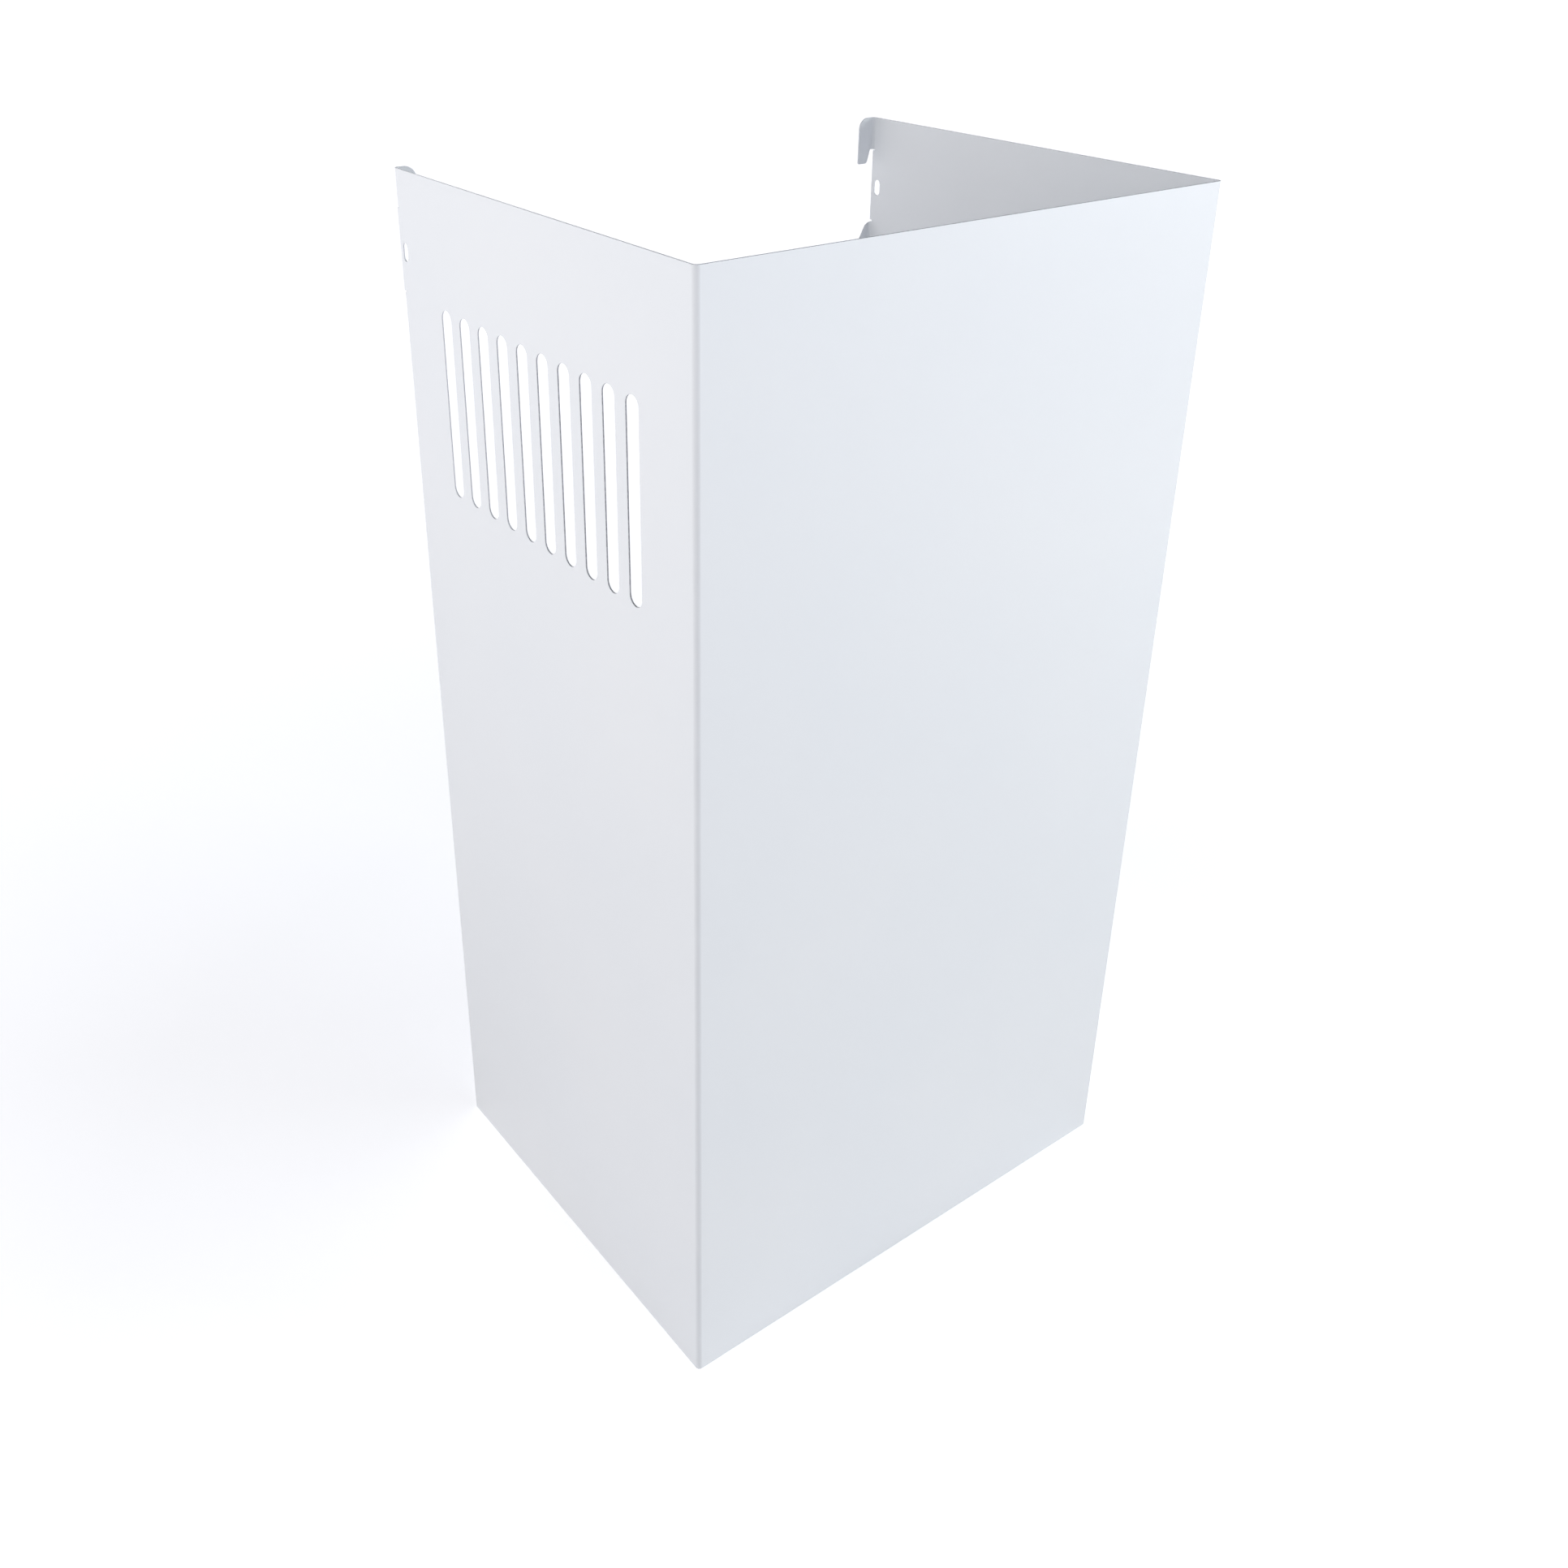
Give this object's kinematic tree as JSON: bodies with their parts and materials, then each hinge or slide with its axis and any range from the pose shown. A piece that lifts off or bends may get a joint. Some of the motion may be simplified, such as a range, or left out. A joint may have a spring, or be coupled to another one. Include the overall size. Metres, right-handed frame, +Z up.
{
  "type": "cooker hood chimney section",
  "caption": "Upper chimney cover for a wall cooker hood: one folded white sheet, open at the back, with side vent slots, hook tabs and oblong fixing holes.",
  "frame": {"origin": "middle of the bounding box on the plane of the bottom edges", "axes": "+Z up towards the hook tabs, -Y out of the front panel, +Y out of the open back towards the wall, X along the width"},
  "size_m": [0.26, 0.21, 0.5],
  "materials": {
    "white_paint": "smooth semi-gloss white powder coat on thin steel sheet"
  },
  "bodies": {
    "root": {"chimney_section": "white_paint"}
  },
  "joints": []
}
